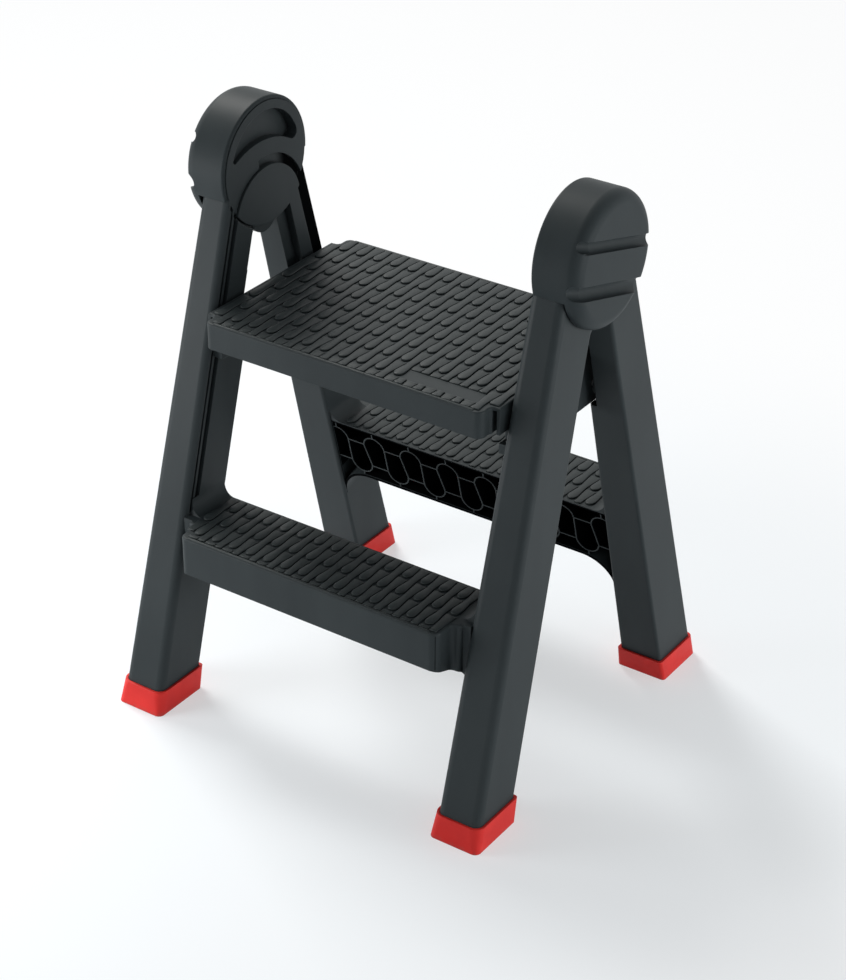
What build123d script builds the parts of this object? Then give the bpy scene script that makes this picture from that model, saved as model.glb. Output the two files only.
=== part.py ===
from build123d import *
from math import atan2, cos, degrees, radians, sin, tan
import os

os.makedirs("parts", exist_ok=True)

# Frame: origin on the floor under the middle, +Y to the rear, +Z up, millimetres.

# Legs
lean = tan(radians(16.0))
leg_floor_y = 217.5
leg_depth = 65.5
rear_leg_thinning = 0.022
leg_inner_x = 177.5
leg_floor_outer_x = 227.5
leg_head_outer_x = 215.0
leg_head_z = 525.0
leg_top_z = 553.5
leg_edge = 8.5
rear_leg_edge = 4.0
leg_back_edge = 3.5
leg_wall = 2.7
leg_inner_wall = 9.5
leg_thin_top_z = 200.0
leg_hollow_top_z = 468.0
leg_hollow_edge = 2.0

# Upper parts of the legs, with one inner corner cut back beside the platform
platform_top_z = 433.5
front_slim_drop = 37.5
front_slim_z = platform_top_z - front_slim_drop
front_slim_depth = 47.5
front_slim_width = 12.0
rear_slim_drop = 65.5
rear_slim_z = platform_top_z - rear_slim_drop
rear_slim_cut = 15.0
rear_slim_width = 9.0

# Grooves along the inner faces of the legs
channel_depth = 5.0
channel_lip = 6.0
channel_width = 13.0
channel_bead = 1.6
rabbet_width = 21.8
rabbet_depth = 6.0
channel_foot_z = 219.0

# Feet
sole = 8.0
foot_height = 25.5
foot_floor_y = 218.75
foot_floor_depth = 70.0
foot_floor_inner_x = 173.0
foot_floor_outer_x = 231.5
foot_lip = 3.0
foot_edge = 7.0
foot_back_edge = 4.0
foot_fit = 0.15
foot_plug_height = 15.0
foot_plug_gap = 0.4

# Lower steps
step_top_z = 216.0
rear_step_rise = 2.0
step_face_height = 43.0
step_back_height = 71.0
step_front_y = -188.0
step_setback = 4.0
step_half_width = 160.0
step_corner = 9.0
step_notch_y = -166.0
step_notch_radius = 5.0
step_wall = 2.8
step_edge = 2.5
step_arch_top = 16.0
step_arch_front = 13.0
step_arch_rear = 38.0
step_overlap = 0.2

# Serpentine rib inside a lower step
rib_pitch = 49.1
rib_first_x = -159.5
rib_count = 7
rib_bend = 13.8
rib_thick = 1.4
rib_cup_drop = 49.7
rib_hump_drop = 23.2
rib_setback = 1.0

# Platform
platform_half_depth = 122.25
platform_shift = -2.75
platform_half_width = 175.5
platform_end_half_width = 166.0
platform_end_y = 104.0
platform_face_height = 28.5
platform_skirt_drop = 43.5
platform_skirt_z = platform_top_z - platform_skirt_drop
platform_skirt_y = 92.0
platform_ear_drop = 67.5
platform_ear_z = platform_top_z - platform_ear_drop
platform_ear_front_y = 22.0
platform_ear_back_y = 90.0
platform_wall = 3.0
platform_deck = 3.4
platform_corner = 8.0
platform_notch = 5.0
platform_edge = 2.0
platform_rib = 2.4
platform_rib_drop = 14.0
platform_ribs_along = 2
platform_ribs_across = 1
platform_slot_inner_x = 167.0
platform_slot_outer_x = 172.0
platform_slot_depth = 9.0

# Platform pivot and rest
pivot_y = 66.0
pivot_drop = 45.5
pivot_z = platform_top_z - pivot_drop
pivot_radius = 5.0
pivot_boss = 11.0
pivot_inner_x = 166.0
pivot_outer_x = 194.0
pivot_cap = 4.0
ledge_inner_x = 168.0
ledge_front_y = -96.0
ledge_back_y = -62.0
ledge_height = 11.0

# Hinge heads
head_z = 559.5
head_inner_x = 180.0
head_core_radius = 64.5
head_plate = 4.0
hinge_z = 503.5
hinge_pin_radius = 5.0
hinge_boss = 15.0
web_inner_x = 209.0
web_outer_x = 215.0
web_fillet = 9.0
arch_small = 53.0
arch_large = 62.5
arch_step_deg = 102.0
arch_wall = 4.0
arch_low_deg = -125.0
flange_low_deg = -16.0
flange_full_deg = 60.0
flange_play_deg = 1.0
tongue_gap = 0.6
tongue_eye = 22.0
tongue_outer_x = 208.4
tongue_deep_x = 184.5
tongue_low_radius = 66.0
pin_inner_x = 187.0
pin_outer_x = 215.8
pin_chamfer = 0.6

# Crescent grip in a head
grip_radius = 55.0
grip_low_radius = 92.6
grip_low_y = -5.8
grip_low_z = 491.2
grip_depth = 14.0
grip_front_depth = 4.5
grip_back_depth = 13.0
grip_wall = 3.0
grip_tip = 3.0
grip_tail = 7.0

# Hinge covers
cover_radius = 68.8
cover_inner_x = 216.2
cover_outer_x = 232.0
cover_edge = 13.0
cover_rim = 4.0
cover_rim_inner_x = 181.0
cover_rim_edge = 2.5
cover_rim_from_deg = -5.0
cover_rim_to_deg = 199.0
cover_hollow_radius = 58.0
cover_hollow_x = 219.0
cover_deep_radius = 55.0
cover_deep_x = 228.0
groove_offsets = (17.0, -27.0)
groove_radii = (6.2, 7.4)
groove_centre_x = 230.0
groove_bend = -47.0
groove_front = -61.0
groove_dip = 4.0
groove_reach = 90.0
groove_wall = 3.0
groove_tip_turn = -45.0

# Clearances
running_fit = 0.06
gap = 0.3

# Cutting tools
reach = 400.0
overrun = 1.0
wedge_sides = 6


def leg_face_y(z):
    return -leg_floor_y + lean * z


def leg_back_y(z, thinning):
    return leg_face_y(z) + leg_depth - thinning * z


def leg_outer_x(z):
    return leg_floor_outer_x - (leg_floor_outer_x - leg_head_outer_x) * z / leg_head_z


def soft_area(x0, x1, y0, y1, z, front_edge, back_edge):
    area = Pos((x0 + x1) / 2, (y0 + y1) / 2) * Rectangle(x1 - x0, y1 - y0)
    area = fillet(area.vertices().group_by(Axis.Y)[0], front_edge)
    area = fillet(area.vertices().group_by(Axis.Y)[-1], back_edge)
    return Pos(0, 0, z) * area


def leg_area(z, thinning, inset, inner_inset, back_inset, front_edge, back_edge):
    y0 = leg_face_y(z) + inset
    y1 = leg_back_y(z, thinning) - back_inset
    return soft_area(leg_inner_x + inner_inset, leg_outer_x(z) - inset, y0, y1, z, front_edge, back_edge)


def leg_run(z0, z1, thinning, inset, inner_inset, back_inset, front_edge, back_edge):
    low = leg_area(z0, thinning, inset, inner_inset, back_inset, front_edge, back_edge)
    high = leg_area(z1, thinning, inset, inner_inset, back_inset, front_edge, back_edge)
    return loft([low.face(), high.face()], ruled=True)


def leg_blank(z0, z1, thinning, edge, grow=0.0):
    return leg_run(z0, z1, thinning, -grow, -grow, -grow, edge, leg_back_edge)


def leg_hollow(z0, z1, thinning, inner_inset, back_inset, tight=0.0):
    inset = leg_wall + tight
    edge = leg_hollow_edge
    return leg_run(z0, z1, thinning, inset, inner_inset + tight, back_inset + tight, edge, edge)


def block(x0, x1, y0, y1, z0, z1):
    return Pos(x0, y0, z0) * Box(x1 - x0, y1 - y0, z1 - z0, align=(Align.MIN, Align.MIN, Align.MIN))


def across(area, x0, x1):
    return extrude(Plane.YZ.offset(x0) * area, amount=x1 - x0)


def disc(y, z, radius):
    return Pos(y, z) * Circle(radius)


def wedge(y, z, from_deg, to_deg, radius=reach):
    turns = [from_deg + (to_deg - from_deg) * i / wedge_sides for i in range(wedge_sides + 1)]
    rim = [(y + radius * cos(radians(a)), z + radius * sin(radians(a))) for a in turns]
    return make_face(Polyline((y, z), *rim, close=True))


def leaning_band(from_front, to_front, z0, z1, thinning=0.0):
    low_y = leg_face_y(z0)
    high_y = leg_face_y(z1)
    corners = [(low_y + from_front, z0), (low_y + to_front - thinning * z0, z0)]
    corners += [(high_y + to_front - thinning * z1, z1), (high_y + from_front, z1)]
    return make_face(Polyline(*corners, close=True))


def both_sides(solid):
    return solid + mirror(solid, about=Plane.YZ)


def to_rear(solid):
    return mirror(solid, about=Plane.XZ)


def step_plan():
    side = leg_inner_x + leg_wall / 2
    notch_x = step_half_width + step_notch_radius
    bead_x = notch_x + step_notch_radius
    front = Line((0, step_front_y), (step_half_width - step_corner, step_front_y))
    corner = RadiusArc(front @ 1, (step_half_width, step_front_y + step_corner), -step_corner)
    flank = Line(corner @ 1, (step_half_width, step_notch_y))
    hollow = RadiusArc(flank @ 1, (notch_x, step_notch_y + step_notch_radius), step_notch_radius)
    bead = RadiusArc(hollow @ 1, (bead_x, step_notch_y + 2 * step_notch_radius), -step_notch_radius)
    end = Polyline(bead @ 1, (side, (bead @ 1).Y), (side, 0), (0, 0))
    half = make_face(front + corner + flank + hollow + bead + end + Line(end @ 1, front @ 0))
    return half + mirror(half, about=Plane.YZ)


def step_fall(top_z, thinning):
    back = leg_back_y(top_z - step_back_height, thinning) - step_setback
    return (step_face_height - step_back_height) / (back - step_front_y)


def step_side(top_z, thinning, inset):
    fall = step_fall(top_z, thinning)
    front = step_front_y + inset
    back = overrun if inset else 0.0
    low = top_z - step_face_height + inset
    corners = [(front, top_z - inset), (back, top_z - inset)]
    corners += [(y, low + fall * (y - step_front_y)) for y in (back, front)]
    return make_face(Polyline(*corners, close=True))


def rib_run(x0, z0, x1, z1):
    long = ((x1 - x0) ** 2 + (z1 - z0) ** 2) ** 0.5
    turn = degrees(atan2(z1 - z0, x1 - x0))
    return Pos((x0 + x1) / 2, (z0 + z1) / 2) * Rot(0, 0, turn) * Rectangle(long + rib_thick, rib_thick)


def rib_bow(x, z, up):
    ring = Circle(rib_bend + rib_thick / 2) - Circle(rib_bend - rib_thick / 2)
    half = Pos(0, up * rib_bend) * Rectangle(4 * rib_bend, 2 * rib_bend)
    return Pos(x, z) * (ring & half)


def rib_area(top_z):
    area = Sketch()
    roof = top_z - step_wall / 2
    cup_z = top_z - rib_cup_drop
    hump_z = top_z - rib_hump_drop
    for i in range(-1, rib_count):
        x = rib_first_x + i * rib_pitch
        slant_low = x + 2 * rib_bend
        slant_high = x + rib_pitch - 2 * rib_bend
        right = x + rib_pitch
        area += rib_run(right, cup_z, right, hump_z)
        area += rib_run(slant_low, cup_z, slant_high, hump_z)
        area += rib_bow(x + rib_bend, cup_z, -1)
        area += rib_bow(right - rib_bend, hump_z, 1)
        area += rib_run(x, hump_z + rib_thick, slant_high, hump_z + rib_thick)
        area += rib_run(slant_low, cup_z - rib_thick, right, cup_z - rib_thick)
        area += rib_run(x + rib_bend, top_z - step_back_height, x + rib_bend, cup_z - rib_bend)
        area += rib_run(right - rib_bend, hump_z + rib_bend, right - rib_bend, roof)
    return area


def arch_web(radius, up):
    corner = Pos(-radius / 2, up * radius / 2) * Rectangle(radius, radius)
    corner -= Pos(-radius, up * radius) * Circle(radius)
    corner += Pos(leg_wall / 4, up * radius / 2) * Rectangle(leg_wall / 2, radius)
    root = Pos((leg_wall / 2 - radius) / 2, -up * leg_wall / 2) * Rectangle(radius + leg_wall / 2, leg_wall)
    return corner + root


def arch_room(radius):
    tall = radius + 2 * step_wall
    area = Pos((step_overlap - radius) / 2, tall / 2 - radius) * Rectangle(radius + step_overlap, tall)
    return area - Pos(-radius, -radius) * Circle(radius + step_wall)


def lower_step(top_z, arch_low, thinning):
    side = leg_inner_x + leg_wall / 2
    body = extrude(step_plan(), amount=top_z)
    body = body & across(step_side(top_z, thinning, 0.0), -side, side)
    rim = [e for e in body.edges() if e.center().Z > top_z - 0.1 and e.center().Y < step_notch_y]
    body = fillet(rim, step_edge)
    behind = block(-reach, reach, step_notch_y + 2 * step_notch_radius, reach, 0, reach)
    beside = across(leaning_band(leg_edge, reach, 0, reach), -reach, reach) & behind
    fall = (0, 1, step_fall(top_z, thinning))
    low = Plane.XZ.offset(-step_front_y) * Pos(leg_inner_x, top_z - step_face_height)
    web = extrude(low * arch_web(arch_low, -1), amount=reach, dir=fall)
    web += extrude(Plane.XZ * Pos(leg_inner_x, top_z) * arch_web(step_arch_top, 1), amount=reach)
    body += both_sides(web & beside)
    room_side = step_side(top_z, thinning, step_wall)
    room_end = leg_inner_x + step_overlap
    inside = Pos(0, step_wall, 0) * beside
    hollow = extrude(low * arch_room(arch_low), amount=reach, dir=fall)
    room = across(room_side, -room_end, room_end) + both_sides(hollow)
    room = room & inside
    room += across(room_side, -step_half_width + step_wall, step_half_width - step_wall)
    open_y = leg_depth - step_setback
    ribs = extrude(Plane.XZ * rib_area(top_z), amount=-step_front_y) & room
    ribs = ribs & across(leaning_band(-reach, open_y - rib_setback, 0, reach, thinning), -reach, reach)
    body = (body - room) & across(leaning_band(-reach, open_y, 0, reach, thinning), -reach, reach)
    return body + ribs


def plain_leg(thinning, edge, slim_z, slim_width, slim_cut):
    body = leg_blank(sole, leg_top_z, thinning, edge)
    body -= leg_hollow(sole - overrun, leg_thin_top_z, thinning, leg_wall, leg_wall)
    joint = slim_z - leg_wall
    body -= leg_hollow(leg_thin_top_z - overrun, joint, thinning, leg_inner_wall, leg_wall)
    slim_inner = slim_width + leg_wall
    body -= leg_hollow(joint - overrun, leg_hollow_top_z, thinning, slim_inner, leg_wall)
    return body - slim_corner(thinning, slim_z, slim_width, slim_cut)


def slim_corner(thinning, slim_z, slim_width, slim_cut):
    low = leg_back_y(slim_z, thinning) - slim_cut
    high = leg_back_y(leg_top_z, thinning) - slim_cut
    corners = [(low, slim_z), (low + leg_depth, slim_z), (high + leg_depth, leg_top_z), (high, leg_top_z)]
    return across(make_face(Polyline(*corners, close=True)), 0, leg_inner_x + slim_width)


cavity = disc(0, hinge_z, arch_small) & disc(0, head_z, tongue_low_radius + gap + tongue_gap)
cavity += disc(0, hinge_z, arch_large) & wedge(0, hinge_z, arch_low_deg, arch_step_deg)
cavity += disc(0, hinge_z, tongue_eye + tongue_gap)


def grip_area():
    area = disc(0, head_z, grip_radius) - disc(grip_low_y, grip_low_z, grip_low_radius)
    ends = area.vertices().sort_by(Axis.X)
    area = fillet(ends[0], grip_tip)
    return fillet(area.vertices().sort_by(Axis.X)[-1], grip_tail)


def hinge_web():
    seat = disc(0, head_z, head_core_radius - gap) & disc(0, hinge_z, arch_large + arch_wall / 2)
    seat += disc(0, hinge_z, hinge_boss)
    low = hinge_z - 3 * hinge_boss
    seat += leaning_band(leg_edge, leg_depth - gap, low, hinge_z + hinge_boss)
    bend = [v for v in seat.vertices() if low + overrun < v.Y < hinge_z - hinge_boss / 2]
    return fillet(bend, web_fillet)


def front_head():
    core = disc(0, head_z, head_core_radius)
    shell = core - disc(0, head_z, head_core_radius - head_plate)
    arch = offset(cavity, arch_wall) & core
    body = across(core - cavity, head_inner_x, head_inner_x + head_plate)
    body += across((shell + arch) - cavity, head_inner_x, cover_inner_x)
    body += across(hinge_web(), web_inner_x, web_outer_x)
    grip = grip_area()
    cup = offset(grip, grip_wall) & core
    body += across(cup, head_inner_x, head_inner_x + grip_depth + grip_wall)
    front_y = -grip_radius
    scoop = make_face(Polyline(
        (head_inner_x - overrun, front_y),
        (head_inner_x + grip_front_depth, front_y),
        (head_inner_x + grip_back_depth, grip_radius),
        (head_inner_x - overrun, grip_radius),
        close=True,
    ))
    return body - (across(grip, 0, reach) & extrude(scoop, amount=2 * reach))


def front_side():
    leg = plain_leg(0.0, leg_edge, front_slim_z, front_slim_width, leg_depth - front_slim_depth)
    channel = leaning_band(channel_lip, channel_lip + channel_width, channel_foot_z, leg_top_z)
    middle = channel_lip + channel_width / 2
    bead = leaning_band(middle - channel_bead, middle + channel_bead, channel_foot_z, leg_top_z)
    leg -= across(channel - bead, 0, leg_inner_x + channel_depth)
    leg -= across(bead, 0, leg_inner_x + channel_depth - 2 * channel_bead)
    ring = disc(0, head_z, 2 * cover_radius) - disc(0, head_z, head_core_radius - gap)
    ring = ring & wedge(0, head_z, cover_rim_from_deg, cover_rim_to_deg)
    leg -= across(ring, 0, reach)
    leg -= across(disc(0, head_z, cover_radius), 0, head_inner_x)
    leg -= across(cavity, 0, web_inner_x)
    leg += front_head()
    ledge_top = platform_skirt_z - gap
    ledge_root_x = leg_inner_x + leg_wall
    ledge_low = ledge_top - ledge_height
    leg += block(ledge_inner_x, ledge_root_x, ledge_front_y, ledge_back_y, ledge_low, ledge_top)
    bore = disc(0, hinge_z, hinge_pin_radius + running_fit)
    return leg - across(bore, web_inner_x - overrun, reach)


def rear_side():
    leg = to_rear(
        plain_leg(rear_leg_thinning, rear_leg_edge, rear_slim_z, rear_slim_width, rear_slim_cut)
    )
    rabbet = leaning_band(-leg_edge, rabbet_width, channel_foot_z + rear_step_rise, leg_top_z)
    leg -= to_rear(across(rabbet, 0, leg_inner_x + rabbet_depth))
    leg -= across(disc(0, head_z, head_core_radius + tongue_gap), 0, reach)
    leg -= across(disc(0, hinge_z, hinge_boss + tongue_gap), tongue_outer_x, reach)
    lens = disc(0, hinge_z, arch_small - tongue_gap) & disc(0, head_z, tongue_low_radius)
    flange = disc(0, hinge_z, arch_large - tongue_gap)
    flange = flange & wedge(0, hinge_z, flange_low_deg, arch_step_deg - flange_play_deg)
    full = disc(0, head_z, tongue_low_radius) + wedge(0, hinge_z, flange_low_deg, flange_full_deg)
    flange = flange & full
    flange = flange - disc(0, hinge_z, arch_small - 2 * tongue_gap)
    body = across(lens, leg_inner_x, tongue_outer_x)
    body += across(disc(0, hinge_z, tongue_eye), tongue_deep_x, tongue_outer_x)
    body += across(flange, tongue_deep_x, tongue_outer_x)
    leg += body
    boss = disc(pivot_y, pivot_z, pivot_boss)
    leg += across(boss, leg_inner_x + leg_wall, pivot_outer_x + leg_wall)
    leg -= across(disc(0, hinge_z, hinge_pin_radius + running_fit), pin_inner_x - gap, reach)
    return leg - across(disc(pivot_y, pivot_z, pivot_radius + running_fit), 0, pivot_outer_x)


def groove_slot(radius):
    front = groove_front - radius
    return Pos((front + groove_reach) / 2, 0) * SlotOverall(groove_reach - front, 2 * radius)


def groove_tool(radius):
    low = (Align.CENTER, Align.CENTER, Align.MIN)
    long = groove_bend - groove_front
    bend = Pos(groove_bend, 0, 0)
    turn = degrees(atan2(-long, -groove_dip))
    tool = bend * Rot(0, 90, 0) * Cylinder(radius, groove_reach - groove_bend, align=low)
    tool += bend * Rot(0, groove_tip_turn, 0) * Sphere(radius)
    tool += bend * Rot(0, turn, 0) * Cylinder(radius, (long ** 2 + groove_dip ** 2) ** 0.5, align=low)
    tool += Pos(groove_front, 0, -groove_dip) * Rot(0, groove_tip_turn, 0) * Sphere(radius)
    return tool + extrude(groove_slot(radius), amount=reach)


def hinge_cover():
    rim = disc(0, head_z, cover_radius) - disc(0, head_z, cover_radius - cover_rim)
    rim = rim & wedge(0, head_z, cover_rim_from_deg, cover_rim_to_deg)
    face = across(disc(0, head_z, cover_radius), cover_inner_x, cover_outer_x)
    face = fillet(face.edges().sort_by(Axis.X)[-1], cover_edge)
    face -= across(disc(0, head_z, cover_hollow_radius), 0, cover_hollow_x)
    wall = across(rim, cover_rim_inner_x, cover_inner_x + overrun)
    brow = wall.faces().sort_by(Axis.X)[0].edges().sort_by(SortBy.LENGTH)[-1]
    face += fillet(brow, cover_rim_edge)
    deep = across(disc(0, head_z, cover_deep_radius), cover_inner_x, cover_deep_x)
    slope = atan2(lean, 1.0)
    for height, radius in zip(groove_offsets, groove_radii):
        run = Plane(
            origin=(groove_centre_x, sin(slope) * height, head_z + cos(slope) * height),
            x_dir=(0, cos(slope), -sin(slope)),
            z_dir=(1, 0, 0),
        )
        face -= run.location * groove_tool(radius)
        back = run.location * extrude(groove_slot(radius + groove_wall), amount=-reach)
        front = run.location * extrude(groove_slot(radius + groove_wall), amount=reach)
        deep -= back + front
    return face - deep


def platform_plan(inset):
    wide = platform_half_width - inset
    end = platform_end_half_width - inset
    deep = platform_half_depth - inset
    notch_y = platform_end_y - inset
    shape = Rectangle(2 * wide, 2 * notch_y) + Rectangle(2 * end, 2 * deep)
    outer = [v for v in shape.vertices() if abs(v.Y) > notch_y + overrun]
    shape = fillet(outer, platform_corner)
    inner = [v for v in shape.vertices() if abs(abs(v.Y) - notch_y) < 0.1 and abs(v.X) < end + 0.1]
    return Pos(0, platform_shift) * fillet(inner, platform_notch)


def corner_slots(wall):
    slot = block(
        platform_slot_inner_x - wall,
        platform_slot_outer_x + wall,
        -platform_end_y + (wall if wall else -overrun),
        platform_slot_depth + wall - platform_end_y,
        platform_top_z - platform_face_height - (0.0 if wall else overrun),
        platform_top_z - platform_deck,
    )
    return Pos(0, platform_shift, 0) * both_sides(slot + to_rear(slot))


def top_platform():
    low = platform_top_z - platform_face_height
    body = Pos(0, 0, low) * extrude(platform_plan(0.0), amount=platform_face_height)
    rim = [e for e in body.edges() if e.center().Z > platform_top_z - 0.1]
    body = fillet(rim, platform_edge)
    middle = low + platform_face_height / 2
    side = make_face(Polyline(
        (-platform_skirt_y, middle),
        (-platform_skirt_y, platform_skirt_z),
        (platform_ear_front_y, platform_skirt_z),
        (platform_ear_front_y, platform_ear_z),
        (platform_ear_back_y, platform_ear_z),
        (platform_ear_back_y, middle),
        close=True,
    ))
    bends = [v for v in side.vertices() if v.Y < middle - overrun]
    side = fillet(bends, platform_corner)
    skirt = across(side, platform_half_width - platform_wall, platform_half_width)
    tall = platform_face_height - platform_deck
    room = Pos(0, 0, low - overrun) * extrude(platform_plan(platform_wall), amount=tall + overrun)
    half = platform_rib / 2
    rib_z = platform_top_z - platform_rib_drop
    ribs = Part()
    for i in range(platform_ribs_along):
        x = platform_end_half_width * ((2 * i + 1) / platform_ribs_along - 1)
        ribs += block(x - half, x + half, -reach, reach, rib_z, platform_top_z)
    for i in range(platform_ribs_across):
        y = platform_half_depth * ((2 * i + 2) / (platform_ribs_across + 1) - 1)
        ribs += block(-reach, reach, y - half, y + half, rib_z, platform_top_z)
    body = body - room + (ribs & room) + both_sides(skirt)
    boss = across(disc(pivot_y, pivot_z, pivot_boss), pivot_inner_x + pivot_cap, platform_half_width)
    boss += block(
        pivot_inner_x + pivot_cap,
        platform_half_width,
        pivot_y - pivot_boss,
        pivot_y + pivot_boss,
        pivot_z,
        platform_top_z - (platform_deck + platform_edge) / 2,
    )
    body += both_sides(boss)
    body = body + corner_slots(platform_wall / 2) - corner_slots(0.0)
    bore = across(disc(pivot_y, pivot_z, pivot_radius + running_fit), pivot_inner_x - pivot_cap, reach)
    return body - both_sides(bore)


def foot(thinning, edge):
    floor_back_y = -foot_floor_y + foot_floor_depth
    low = soft_area(
        foot_floor_inner_x, foot_floor_outer_x, -foot_floor_y, floor_back_y, 0, foot_edge, foot_back_edge
    )
    lip = -foot_lip
    top = leg_area(foot_height, thinning, lip, lip, lip, edge + foot_lip, foot_back_edge)
    body = loft([low.face(), top.face()], ruled=True)
    body -= leg_blank(sole, foot_height + overrun, thinning, edge, foot_fit)
    plug_top = sole + foot_plug_height
    return body + leg_hollow(sole - overrun, plug_top, thinning, leg_wall, leg_wall, foot_plug_gap)


def pin_across(y, z, radius, x0, x1):
    body = across(disc(y, z, radius), x0, x1)
    return chamfer(body.edges(), pin_chamfer)


front_frame = lower_step(step_top_z, step_arch_front, 0.0) + both_sides(front_side())
rear_step = lower_step(step_top_z + rear_step_rise, step_arch_rear, rear_leg_thinning)
rear_frame = to_rear(rear_step) + both_sides(rear_side())
hinge_pin = pin_across(0, hinge_z, hinge_pin_radius, pin_inner_x, pin_outer_x)
pivot_pin = pin_across(pivot_y, pivot_z, pivot_radius, pivot_inner_x, pivot_outer_x - gap)

nodes = {"front_frame": front_frame, "rear_frame": rear_frame, "top_platform": top_platform()}
pairs = {
    "hinge_cover": hinge_cover(),
    "hinge_pin": hinge_pin,
    "platform_pin": pivot_pin,
    "foot_front": foot(0.0, leg_edge),
    "foot_rear": to_rear(foot(rear_leg_thinning, rear_leg_edge)),
}
for name, solid in pairs.items():
    nodes[name + "_right"] = solid
    nodes[name + "_left"] = mirror(solid, about=Plane.YZ)
for name, solid in nodes.items():
    export_step(solid, "parts/" + name + ".step")
    print(name, len(solid.solids()), round(solid.volume / 1000, 1))
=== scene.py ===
import math
import bmesh
import bpy
from mathutils import Matrix, Vector


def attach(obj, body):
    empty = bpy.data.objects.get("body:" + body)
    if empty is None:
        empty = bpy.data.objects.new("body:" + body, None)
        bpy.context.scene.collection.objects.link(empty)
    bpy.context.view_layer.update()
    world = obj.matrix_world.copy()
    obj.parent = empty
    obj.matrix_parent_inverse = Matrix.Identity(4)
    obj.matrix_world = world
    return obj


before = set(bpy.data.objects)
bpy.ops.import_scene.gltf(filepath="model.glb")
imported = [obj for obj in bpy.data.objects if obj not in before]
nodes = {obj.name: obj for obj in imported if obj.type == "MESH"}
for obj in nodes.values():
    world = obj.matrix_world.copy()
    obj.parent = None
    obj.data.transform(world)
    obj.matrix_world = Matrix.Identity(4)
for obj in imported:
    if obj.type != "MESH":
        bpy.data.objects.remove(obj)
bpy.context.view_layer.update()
mm = 0.001
print("frame loaded,", len(nodes), "nodes")


class Wire:  # one output socket, so shader maths reads as plain sums
    def __init__(self, tree, out=None):
        self.tree = tree
        self.out = out

    def make(self, kind, settings=None, sockets=None, outlet=0):
        made = self.tree.nodes.new(kind)
        for key, value in (settings or {}).items():
            setattr(made, key, value)
        for key, value in (sockets or {}).items():
            if isinstance(value, Wire):
                self.tree.links.new(value.out, made.inputs[key])
            else:
                made.inputs[key].default_value = value
        return Wire(self.tree, made.outputs[outlet] if len(made.outputs) else None)

    def maths(self, operation, *terms, clamp=False):
        settings = {"operation": operation, "use_clamp": clamp}
        return self.make("ShaderNodeMath", settings, dict(enumerate(terms)))

    def __add__(self, other):
        return self.maths("ADD", self, other)

    def __radd__(self, other):
        return self.maths("ADD", other, self)

    def __sub__(self, other):
        return self.maths("SUBTRACT", self, other)

    def __rsub__(self, other):
        return self.maths("SUBTRACT", other, self)

    def __mul__(self, other):
        return self.maths("MULTIPLY", self, other)

    def clamp(self):
        return self.maths("ADD", self, 0.0, clamp=True)

    def size(self):
        return self.maths("ABSOLUTE", self)

    def above(self, low):
        return self.maths("GREATER_THAN", self, low)

    def below(self, high):
        return self.maths("LESS_THAN", self, high)

    def within(self, low, high):
        return self.above(low) * self.below(high)

    def either(self, other):
        return self.maths("MAXIMUM", self, other)

    def axes(self):  # the three parts of a vector
        split = self.make("ShaderNodeSeparateXYZ", {}, {"Vector": self}).out.node
        return [Wire(self.tree, out) for out in split.outputs]

    def band(self, low, high):  # 0 below low, 1 above high, smooth between
        settings = {"interpolation_type": "SMOOTHSTEP"}
        sockets = {"Value": self, "From Min": low, "From Max": high}
        return self.make("ShaderNodeMapRange", settings, sockets)

    def between(self, first, second):  # this wire is the factor, the two ends are colours
        sockets = {0: self, 6: first, 7: second}
        return self.make("ShaderNodeMix", {"data_type": "RGBA"}, sockets, 2)


noiseMean = 0.5
rayCount = 6  # rays of each bevel and occlusion node
white = (1.0, 1.0, 1.0, 1.0)


def opaque(colour):
    return (*colour, 1.0)


def startMaterial(name):
    material = bpy.data.materials.new(name)
    material.use_nodes = True
    material.node_tree.nodes.clear()
    wire = Wire(material.node_tree)
    return material, wire, wire.make("ShaderNodeTexCoord", outlet="Object")


def finishMaterial(wire, shader):
    wire.make("ShaderNodeOutputMaterial", {"target": "ALL"}, {"Surface": shader})


def noise(wire, place, scale, detail=2.0, rough=0.5):
    sockets = {"Vector": place, "Scale": scale, "Detail": detail, "Roughness": rough}
    return wire.make("ShaderNodeTexNoise", {}, sockets, "Fac")


def streaks(wire, place, stretch, detail=2.0):  # noise drawn out along the axes
    drawn = wire.make("ShaderNodeMapping", {"vector_type": "POINT"}, {"Vector": place, "Scale": stretch})
    return noise(wire, drawn, 1.0, detail)


def edgeMask(wire, radius, gain):  # how far a rounded normal leaves the true one
    soft = wire.make("ShaderNodeBevel", {"samples": rayCount}, {"Radius": radius}, "Normal")
    plain = wire.make("ShaderNodeNewGeometry", outlet="Normal")
    settings = {"operation": "DOT_PRODUCT"}
    same = wire.make("ShaderNodeVectorMath", settings, {0: soft, 1: plain}, "Value")
    return soft, ((1.0 - same) * gain).clamp()


def cornerShade(wire, distance):  # 0 in the open, towards 1 in a deep corner, the mask of painted shade
    sockets = {"Distance": distance, "Color": white}
    return 1.0 - wire.make("ShaderNodeAmbientOcclusion", {"samples": rayCount}, sockets, "AO")


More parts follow.
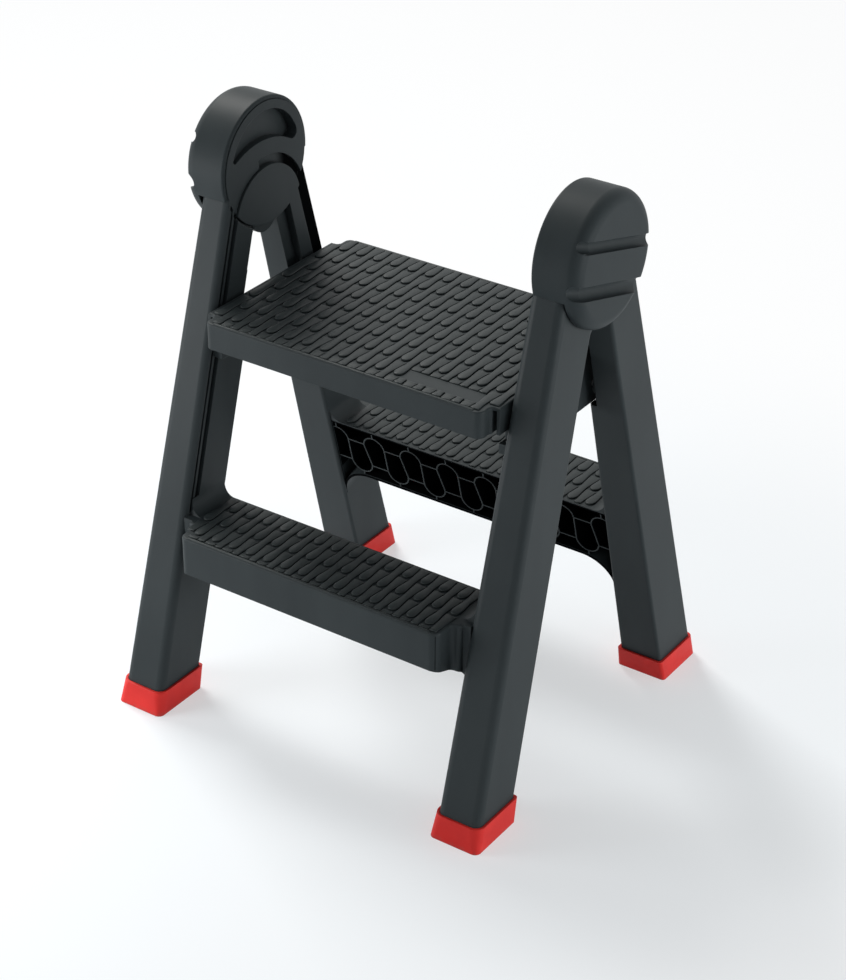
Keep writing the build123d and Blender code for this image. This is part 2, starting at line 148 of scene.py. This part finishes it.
frameFinish = {  # dark moulded plastic, with a near-black colour painted in as shade in recesses, creases and step hollows
    "colour": (0.036, 0.043, 0.045), "deep": (0.028, 0.034, 0.036), "pale": (0.085, 0.096, 0.098),
    "paintedShade": (0.003, 0.0033, 0.0036), "roughness": 0.47, "shine": 0.12, "grainScale": 1500.0,
    # reach and strength of the painted shade in recesses and creases
    "grainDepth": 0.00006, "scuff": 0.5, "edge": 1.1 * mm, "recessShadow": 20 * mm, "recessShade": 0.45,
    "creaseShadow": 5 * mm, "creaseShade": 0.85,
}
coverFinish = dict(
    frameFinish, roughness=0.50, shine=0.09, grainDepth=0.00005, edge=0.9 * mm,
    # a shorter, lighter painted shade in the cover's recesses
    recessShadow=10 * mm, recessShade=0.3,
)
treadFinish = dict(
    # a paler edge colour than the frame's, so that edge wear doubles as a painted highlight along the
    # tread's edges
    frameFinish, colour=(0.033, 0.040, 0.041), deep=(0.025, 0.031, 0.032), pale=(0.13, 0.145, 0.148),
    roughness=0.44, shine=0.15, grainScale=900.0, grainDepth=0.00016, scuff=0.8, edge=0.5 * mm,
    # a short, strong painted shade that darkens the gaps between the pads
    recessShadow=4 * mm, recessShade=0.85,
)
plasticGrain = {  # noise scales per metre and the share that each pattern takes
    "cloudScale": 6.0, "cloudDetail": 3.0, "cloudShare": 0.6, "driftBand": (0.3, 0.7),
    "mottleScale": 70.0, "mottleDetail": 4.0, "mottleRough": 0.6, "mottleBump": 0.35,
    "flowStretch": (30.0, 30.0, 5.0), "flowDetail": 3.0, "flowShare": 0.4, "grainRough": 0.55,
    "scratchStretch": (900.0, 90.0, 160.0), "scratchBand": (0.62, 0.74), "scuffPatch": (0.45, 0.65),
    # pale edges stand for wear and, on the treads, also for a painted highlight
    "edgeGain": 2.5, "paleEdgePatch": (0.3, 0.7), "edgeWearAndHighlight": 0.45, "wornScuff": 0.18,
    # the recess and crease bands shape the painted shade
    "recessBand": (0.35, 0.95), "creaseBand": (0.25, 0.8), "bump": 0.7, "scuffBump": 0.4,
    "roughCloud": 0.08, "roughGrain": 0.14, "roughScuff": 0.12, "roughEdge": 0.05, "index": 1.49,
}
frontStep = {  # hollow of a lower step in metres, painted flat black as its shade, depth is counted from its leaning open side
    "side": -1.0, "openY": 0.156, "lean": 0.28675, "roofZ": 0.2137, "lowZ": 0.1752, "fall": 0.380,
    "recessShadow": None,
}
rearStep = {
    "side": 1.0, "openY": 0.156, "lean": 0.26475, "roofZ": 0.2157, "lowZ": 0.1772, "fall": 0.395,
    # painted shade on the sunk floor along the rear leg's inner side
    "recessShadow": {"x": (0.1829, 0.1853), "lowZ": 0.22, "fadeY": (0.018, 0.036), "sideways": 0.9},
}
stepRoom = {
    "faceY": 0.188, "wallY": 0.1856, "nearX": 0.1576, "farX": 0.178, "farY": 0.1534,
    "ribEdge": 1.5 * mm, "rim": 0.4 * mm, "rimLowZ": 0.11, "roof": 1.4 * mm,
}


def stepHollowShade(wire, place, step):  # mask of painted shade, 1 inside a lower step but for the edges of its rib
    x, y, z = place.axes()
    across = x.size()
    out = y * step["side"]
    depth = out - (step["openY"] - z * step["lean"])
    floor = step["lowZ"] - (stepRoom["faceY"] - out) * step["fall"]
    near = across.below(stepRoom["nearX"])
    far = across.below(stepRoom["farX"])
    wide = near.either(far * out.within(0.0, stepRoom["farY"]))
    room = wide * out.within(0.0, stepRoom["wallY"]) * z.within(floor, step["roofZ"])
    room = room * depth.above(stepRoom["ribEdge"])
    rim = depth.within(-stepRoom["rim"], stepRoom["rim"]) * far
    rim = rim * z.within(stepRoom["rimLowZ"], step["roofZ"] + stepRoom["roof"])
    paintedShade = room.either(rim)
    recessShadow = step["recessShadow"]
    if recessShadow:  # painted black as shade on the sunk floor along the rear leg's inner side
        facing = wire.make("ShaderNodeNewGeometry", outlet="True Normal").axes()[0].size()
        sunk = across.within(*recessShadow["x"]) * z.above(recessShadow["lowZ"]) * facing.above(recessShadow["sideways"])
        paintedShade = paintedShade.either(sunk * out.band(*recessShadow["fadeY"]))
    return paintedShade


def mouldedPlastic(name, finish, step=None):
    material, wire, place = startMaterial(name)
    use = plasticGrain
    cloud = noise(wire, place, use["cloudScale"], use["cloudDetail"])
    mottle = noise(wire, place, use["mottleScale"], use["mottleDetail"], use["mottleRough"])
    grain = noise(wire, place, finish["grainScale"], rough=use["grainRough"])
    flow = streaks(wire, place, use["flowStretch"], use["flowDetail"])
    scratch = streaks(wire, place, use["scratchStretch"])
    scuff = scratch.band(*use["scratchBand"]) * mottle.band(*use["scuffPatch"]) * finish["scuff"]
    soft, edge = edgeMask(wire, finish["edge"], use["edgeGain"])
    # painted shade: recesses and creases darken towards near black
    recessShadow = cornerShade(wire, finish["recessShadow"]).band(*use["recessBand"]) * finish["recessShade"]
    creaseShadow = cornerShade(wire, finish["creaseShadow"]).band(*use["creaseBand"]) * finish["creaseShade"]
    drift = (cloud * use["cloudShare"] + flow * use["flowShare"]).band(*use["driftBand"])
    # pale edges and scuffs: wear, and on the treads also a painted highlight along the edges
    wearAndHighlight = edge * mottle.band(*use["paleEdgePatch"]) * use["edgeWearAndHighlight"] + scuff * use["wornScuff"]
    body = drift.between(opaque(finish["deep"]), opaque(finish["colour"]))
    body = wearAndHighlight.clamp().between(body, opaque(finish["pale"]))
    body = recessShadow.either(creaseShadow).between(body, opaque(finish["paintedShade"]))
    roughness = finish["roughness"] + (cloud - noiseMean) * use["roughCloud"]
    roughness = roughness + (grain - noiseMean) * use["roughGrain"]
    roughness = roughness + scuff * use["roughScuff"] - edge * use["roughEdge"]
    height = grain + mottle * use["mottleBump"] - scuff * use["scuffBump"]
    normal = wire.make("ShaderNodeBump", {}, {
        "Strength": use["bump"], "Distance": finish["grainDepth"], "Height": height, "Normal": soft,
    })
    shader = wire.make("ShaderNodeBsdfPrincipled", {}, {
        "Base Color": body, "Roughness": roughness, "Normal": normal, "IOR": use["index"],
        "Specular IOR Level": finish["shine"],
    })
    # a lower step's hollow is painted flat black as shade
    if step:
        paintedShadowShader = wire.make("ShaderNodeBsdfDiffuse", {}, {"Color": opaque(finish["paintedShade"])})
        hollowShade = stepHollowShade(wire, place, step)
        shader = wire.make("ShaderNodeMixShader", {}, {0: hollowShade, 1: shader, 2: paintedShadowShader})
    finishMaterial(wire, shader)
    return material


rubberFinish = {
    "colour": (0.76, 0.030, 0.024), "deep": (0.67, 0.023, 0.019), "bloom": (0.78, 0.12, 0.09),
    "dust": (0.42, 0.10, 0.08), "roughness": 0.46, "shine": 0.2, "index": 1.5, "grainDepth": 0.00008,
    "cloudScale": 28.0, "cloudDetail": 3.0, "cloudBand": (0.3, 0.7), "grainScale": 1700.0,
    "mottleScale": 260.0, "mottleDetail": 3.0, "mottleRough": 0.6, "mottleBump": 0.5, "bump": 0.6,
    "edge": 1.4 * mm, "edgeGain": 2.2, "bloomShare": 0.35, "roughMottle": 0.16, "roughDust": 0.25,
    "dustHeight": 6 * mm, "dustPatch": (0.4, 0.65), "dustShare": 0.5,
}


def redRubber(name, finish):
    material, wire, place = startMaterial(name)
    cloud = noise(wire, place, finish["cloudScale"], finish["cloudDetail"])
    mottle = noise(wire, place, finish["mottleScale"], finish["mottleDetail"], finish["mottleRough"])
    grain = noise(wire, place, finish["grainScale"])
    soft, edge = edgeMask(wire, finish["edge"], finish["edgeGain"])
    low = 1.0 - place.axes()[2].band(0.0, finish["dustHeight"])  # floor dust on the sole's edge
    dust = low * mottle.band(*finish["dustPatch"]) * finish["dustShare"]
    body = cloud.band(*finish["cloudBand"]).between(opaque(finish["deep"]), opaque(finish["colour"]))
    body = (edge * finish["bloomShare"]).between(body, opaque(finish["bloom"]))
    body = dust.between(body, opaque(finish["dust"]))
    roughness = finish["roughness"] + (mottle - noiseMean) * finish["roughMottle"]
    roughness = roughness + dust * finish["roughDust"]
    height = grain + mottle * finish["mottleBump"]
    normal = wire.make("ShaderNodeBump", {}, {
        "Strength": finish["bump"], "Distance": finish["grainDepth"], "Height": height, "Normal": soft,
    })
    shader = wire.make("ShaderNodeBsdfPrincipled", {}, {
        "Base Color": body, "Roughness": roughness, "Normal": normal, "IOR": finish["index"],
        "Specular IOR Level": finish["shine"],
    })
    finishMaterial(wire, shader)
    return material


pinFinish = {
    "colour": (0.60, 0.61, 0.62), "dull": (0.40, 0.41, 0.42), "roughness": 0.30,
    "turnStretch": (4200.0, 60.0, 60.0), "turnDepth": 0.00002, "bump": 0.4, "roughTurn": 0.2,
    "stainScale": 240.0, "stainDetail": 3.0, "stainBand": (0.35, 0.7), "roughStain": 0.1,
}


def turnedSteel(name, finish):
    material, wire, place = startMaterial(name)
    turning = streaks(wire, place, finish["turnStretch"])
    stain = noise(wire, place, finish["stainScale"], finish["stainDetail"])
    body = stain.band(*finish["stainBand"]).between(opaque(finish["colour"]), opaque(finish["dull"]))
    roughness = finish["roughness"] + (turning - noiseMean) * finish["roughTurn"]
    roughness = roughness + (stain - noiseMean) * finish["roughStain"]
    normal = wire.make("ShaderNodeBump", {}, {
        "Strength": finish["bump"], "Distance": finish["turnDepth"], "Height": turning,
    })
    shader = wire.make("ShaderNodeBsdfPrincipled", {}, {
        "Base Color": body, "Roughness": roughness, "Normal": normal, "Metallic": 1.0,
    })
    finishMaterial(wire, shader)
    return material


treadPlastic = mouldedPlastic("treadPlastic", treadFinish)
pinSteel = turnedSteel("pinSteel", pinFinish)
nodeLooks = {  # by the start of the node's name
    "top_platform": mouldedPlastic("framePlastic", frameFinish),
    "front_frame": mouldedPlastic("frontPlastic", frameFinish, frontStep),
    "rear_frame": mouldedPlastic("rearPlastic", frameFinish, rearStep),
    "hinge_cover": mouldedPlastic("coverPlastic", coverFinish),
    "hinge_pin": pinSteel,
    "platform_pin": pinSteel,
    "foot": redRubber("footRubber", rubberFinish),
}
for name, node in nodes.items():
    look = next(material for start, material in nodeLooks.items() if name.startswith(start))
    node.data.materials.clear()
    node.data.materials.append(look)
print("materials on the frame")


def pieceFrom(mesh, name, body, material):
    bmesh.ops.recalc_face_normals(mesh, faces=mesh.faces)
    shape = bpy.data.meshes.new(name)
    mesh.to_mesh(shape)
    mesh.free()
    for face in shape.polygons:
        face.use_smooth = True
    shape.materials.append(material)
    piece = bpy.data.objects.new(name, shape)
    bpy.context.scene.collection.objects.link(piece)
    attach(piece, body)


def bridge(mesh, rings):  # skin between closed rings of equal count
    for first, second in zip(rings, rings[1:]):
        for i in range(len(first)):
            j = (i + 1) % len(first)
            mesh.faces.new((first[i], first[j], second[j], second[i]))


padShape = {  # raised grip pad in mm: an hourglass with a square tail and a round nose
    "length": 54.0, "period": 56.2, "pitch": 11.05, "height": 1.5, "sink": 0.3,
    "low": 0.65, "slope": 0.65,  # height as a share, at the tail and its gain to the nose
    "tail": 6.1, "waist": 3.95, "waistAt": 0.50, "straight": 0.75, "nose": 5.5, "noseAt": 0.88,
    "stations": 15, "noseTurns": (0, 18, 36, 54, 70, 82), "shortest": 2.5, "thinnest": 0.25,
    "edge": ((0.12, 0.55), (0.36, 0.88), (0.9, 1.0)),  # inset and share of the height, up the side
}


def ease(t):
    return t * t * (3 - 2 * t)


def padHalfWidth(share):
    tail, waist, nose = padShape["tail"], padShape["waist"], padShape["nose"]
    waistAt, noseAt = padShape["waistAt"], padShape["noseAt"]
    if share < waistAt:
        t = share / waistAt
        return tail + (waist - tail) * (t * padShape["straight"] + (1 - padShape["straight"]) * ease(t))
    if share < noseAt:
        return waist + (nose - waist) * ease((share - waistAt) / (noseAt - waistAt))
    t = (share - noseAt) / (1 - noseAt)
    return nose * math.sqrt(max(0.0, 1 - t * t))


def padOutline(first, last):  # points (across, share) round the pad between two shares of its length
    count, noseAt = padShape["stations"], padShape["noseAt"]
    shares = [first + (last - first) * i / (count - 1) for i in range(count)]
    if last > noseAt:  # closer stations round the nose
        body = [s for s in shares if s < noseAt] or [first]
        start = max(first, noseAt)
        turn = [start + (last - start) * math.sin(math.radians(a)) for a in padShape["noseTurns"]]
        shares = body + [s for s in turn if s > body[-1] + 0.001]
    right = [(padHalfWidth(s), s) for s in shares]
    left = [(-w, s) for w, s in reversed(right)]
    return right + left


def addPad(mesh, across, tail, cutRear, cutFront, top):  # tail is the y of the square end
    long, tall = padShape["length"], padShape["height"]
    first = max(0.0, (tail - cutRear) / long)
    last = min(1.0, (tail - cutFront) / long)
    if (last - first) * long < padShape["shortest"]:
        return
    outline = padOutline(first, last)
    centre = sum((Vector((w, s * long)) for w, s in outline), Vector((0, 0))) / len(outline)
    levels = [(0.0, -padShape["sink"])] + [(inset, tall * share) for inset, share in padShape["edge"]]
    rings = []
    for inset, rise in levels:
        ring = []
        for w, s in outline:
            wide = math.copysign(max(padShape["thinnest"], abs(w) - inset), w)
            run = s * long
            run += inset if run < centre.y else -inset
            run = min(max(run, first * long + inset), last * long - inset)
            high = rise * (padShape["low"] + padShape["slope"] * run / long) if rise > 0 else rise
            ring.append(mesh.verts.new(((across + wide) * mm, (tail - run) * mm, (top + high) * mm)))
        rings.append(ring)
    bridge(mesh, rings)
    mesh.faces.new(rings[-1])
    mesh.faces.new(list(reversed(rings[0])))


def layPads(mesh, pads):
    long, period = padShape["length"], padShape["period"]
    for i in range(pads["columns"]):
        across = pads["firstX"] + i * padShape["pitch"]
        rear, front = pads["rear"], pads["front"]
        if abs(across) > pads["endX"]:
            rear, front = pads["ends"]
        runs = [(rear, front)]
        for x0, x1, bareRear, bareFront in pads["bare"]:
            if x0 < across < x1:
                runs = [(rear, bareRear), (bareFront, front)]
        noseLine = pads["noseY"] - (period / 2 if i % 2 == 0 else 0.0)  # every other column staggered
        for runRear, runFront in runs:
            tail = noseLine + long + pads["ahead"] * period
            while tail > runFront:
                if tail - long < runRear:
                    addPad(mesh, across, tail, runRear, runFront, pads["top"])
                tail -= period


platformPads = {  # bare is the panel where the photograph has lettering
    "name": "platform_tread", "body": "platform", "top": 433.5, "firstX": -164.8, "columns": 31,
    "noseY": 89.0, "ahead": 3, "rear": 116.0, "front": -120.8, "endX": 158.0, "ends": (98.6, -104.2),
    "bare": [(62.0, 150.0, -90.0, -110.0)],
}
frontPads = {
    "name": "front_step_tread", "body": "front", "top": 216.0, "firstX": -157.3, "columns": 29,
    "noseY": -119.5, "ahead": 3, "rear": -97.0, "front": -182.5, "endX": 153.0, "ends": (-97.0, -172.0),
    "bare": [],
}
rearPads = dict(
    frontPads, name="rear_step_tread", body="rear", top=218.0, noseY=131.7, rear=182.5, front=100.8,
    ends=(172.0, 100.8),
)
for pads in (platformPads, frontPads, rearPads):
    mesh = bmesh.new()
    layPads(mesh, pads)
    pieceFrom(mesh, pads["name"], pads["body"], treadPlastic)
print("tread pads laid")


lipShape = {  # low rounded bar along a tread's edge, ends are (distance, share of the height)
    "width": 3.4, "height": 1.0, "sink": 0.4, "turns": 7, "swell": 0.7,
    "ends": ((0.0, 0.2), (0.5, 0.75), (1.5, 1.0)),
}


def addLip(mesh, lip, edgeY, side):  # side is -1 where the tread lies behind the lip, 1 in front of it
    half, turns = lipShape["width"] / 2, lipShape["turns"]
    profile = [(0.0, -lipShape["sink"])]
    for i in range(turns):
        a = math.pi * i / (turns - 1)
        profile.append((half - half * math.cos(a), lipShape["height"] * math.sin(a) ** lipShape["swell"]))
    profile.append((lipShape["width"], -lipShape["sink"]))
    stations = [(x - lip["halfX"], share) for x, share in lipShape["ends"]]
    stations += [(lip["halfX"] - x, share) for x, share in reversed(lipShape["ends"])]
    rings = []
    for x, share in stations:
        ring = []
        for run, rise in profile:
            high = rise * share if rise > 0 else rise
            ring.append(mesh.verts.new((x * mm, (edgeY - side * run) * mm, (lip["top"] + high) * mm)))
        rings.append(ring)
    bridge(mesh, rings)
    mesh.faces.new(rings[0])
    mesh.faces.new(list(reversed(rings[-1])))


platformLips = {
    "name": "platform_lips", "body": "platform", "top": 433.5, "halfX": 156.0,
    "edges": ((-123.9, -1), (118.4, 1)),
}
frontLip = {
    "name": "front_step_lip", "body": "front", "top": 216.0, "halfX": 150.0,
    "edges": ((-186.6, -1),),
}
rearLip = {
    "name": "rear_step_lip", "body": "rear", "top": 218.0, "halfX": 150.0,
    "edges": ((186.6, 1),),
}
for lip in (platformLips, frontLip, rearLip):
    mesh = bmesh.new()
    for edgeY, side in lip["edges"]:
        addLip(mesh, lip, edgeY, side)
    pieceFrom(mesh, lip["name"], lip["body"], treadPlastic)
print("lips laid")


def seenRays(wire):  # 1 for what the camera sees, straight or in a surface
    kinds = ("Is Camera Ray", "Is Glossy Ray", "Is Transmission Ray")
    straight, glossy, clear = [wire.make("ShaderNodeLightPath", outlet=kind) for kind in kinds]
    return (straight + glossy + clear).clamp()


floorLook = {  # near and far give a distance and how much of the floor glows plain white there, a painted glow kept weaker near the object
    "size": 9.0, "drop": 0.2 * mm, "colour": (0.88, 0.94, 0.99), "cloud": (0.91, 0.95, 0.985),
    "cloudScale": 1.4, "roughness": 0.5, "roughCloud": 0.05, "index": 1.35, "shine": 0.1,
    "near": (0.40, 0.50), "far": (1.0, 0.90),
}


def paleFloor(look):
    half = look["size"] / 2
    mesh = bmesh.new()
    corners = ((-half, -half), (half, -half), (half, half), (-half, half))
    mesh.faces.new([mesh.verts.new((x, y, -look["drop"])) for x, y in corners])
    shape = bpy.data.meshes.new("floor")
    mesh.to_mesh(shape)
    mesh.free()
    material, wire, place = startMaterial("floorPaint")
    cloud = noise(wire, place, look["cloudScale"])
    shader = wire.make("ShaderNodeBsdfPrincipled", {}, {
        "Base Color": cloud.between(opaque(look["colour"]), opaque(look["cloud"])),
        "Roughness": look["roughness"] + (cloud - noiseMean) * look["roughCloud"],
        "IOR": look["index"], "Specular IOR Level": look["shine"],
    })
    plain = wire.make("ShaderNodeEmission", {}, {"Color": white, "Strength": 1.0})
    away = wire.make("ShaderNodeVectorMath", {"operation": "LENGTH"}, {0: place}, "Value")
    (nearAt, nearLift), (farAt, farLift) = look["near"], look["far"]
    paintedGlow = nearLift + away.band(nearAt, farAt) * (farLift - nearLift)  # painted glow, weaker near the object so that its shadow keeps
    shader = wire.make("ShaderNodeMixShader", {}, {0: seenRays(wire) * paintedGlow, 1: shader, 2: plain})
    finishMaterial(wire, shader)
    shape.materials.append(material)
    floor = bpy.data.objects.new("floor", shape)
    bpy.context.scene.collection.objects.link(floor)


studioLook = {"light": (0.86, 0.95, 1.0), "level": 0.29}


def studioWorld(look):
    world = bpy.data.worlds.new("studio")
    bpy.context.scene.world = world
    world.use_nodes = True
    world.node_tree.nodes.clear()
    wire = Wire(world.node_tree)
    sockets = {"Color": opaque(look["light"]), "Strength": look["level"]}
    light = wire.make("ShaderNodeBackground", {}, sockets)
    plain = wire.make("ShaderNodeBackground", {}, {"Color": white, "Strength": 1.0})
    both = wire.make("ShaderNodeMixShader", {}, {0: seenRays(wire), 1: light, 2: plain})
    wire.make("ShaderNodeOutputWorld", {"target": "ALL"}, {"Surface": both})


keyLamp = {
    "name": "keyLamp", "spot": (-1.7, 0.75, 2.4), "aim": (0.0, 0.0, 0.3), "size": (0.9, 0.9),
    "power": 66.0, "tint": (1.0, 0.98, 0.95),
}
sideLamp = {
    "name": "sideLamp", "spot": (2.6, 0.4, 0.4), "aim": (0.0, 0.0, 0.15), "size": (1.6, 0.7),
    "power": 32.0, "tint": (0.97, 0.99, 1.0),
}
nearLamp = {
    "name": "nearLamp", "spot": (-0.85, -0.75, 0.4), "aim": (-0.2, -0.2, 0.2), "size": (0.5, 0.5),
    "power": 6.8, "tint": (0.98, 0.99, 1.0),
}


def softLamp(look):
    lamp = bpy.data.lights.new(look["name"], "AREA")
    lamp.shape = "RECTANGLE"
    lamp.size, lamp.size_y = look["size"]
    lamp.energy = look["power"]
    lamp.color = look["tint"]
    holder = bpy.data.objects.new(look["name"], lamp)
    holder.location = look["spot"]
    toward = Vector(look["aim"]) - Vector(look["spot"])
    holder.rotation_euler = toward.to_track_quat("-Z", "Y").to_euler()
    bpy.context.scene.collection.objects.link(holder)


view = {  # fitted to the photograph
    "lens": 89.83, "sensor": 36.0, "clipEnd": 60.0, "spot": (1.25749, -1.80238, 1.53138),
    "right": (0.82203, 0.56943, 0.00355), "up": (-0.29187, 0.41597, 0.86127),
    "back": (0.48896, -0.70902, 0.50814),
}


def photoCamera(look):
    lens = bpy.data.cameras.new("camera")
    lens.lens = look["lens"]
    lens.sensor_width = look["sensor"]
    lens.clip_end = look["clipEnd"]
    camera = bpy.data.objects.new("camera", lens)
    turned = Matrix((look["right"], look["up"], look["back"])).transposed()
    camera.matrix_world = Matrix.Translation(look["spot"]) @ turned.to_4x4()
    bpy.context.scene.collection.objects.link(camera)
    bpy.context.scene.camera = camera


paleFloor(floorLook)
studioWorld(studioLook)
for lamp in (keyLamp, sideLamp, nearLamp):
    softLamp(lamp)
photoCamera(view)
bpy.context.scene.view_settings.view_transform = "Standard"
print("floor, lamps and camera set")
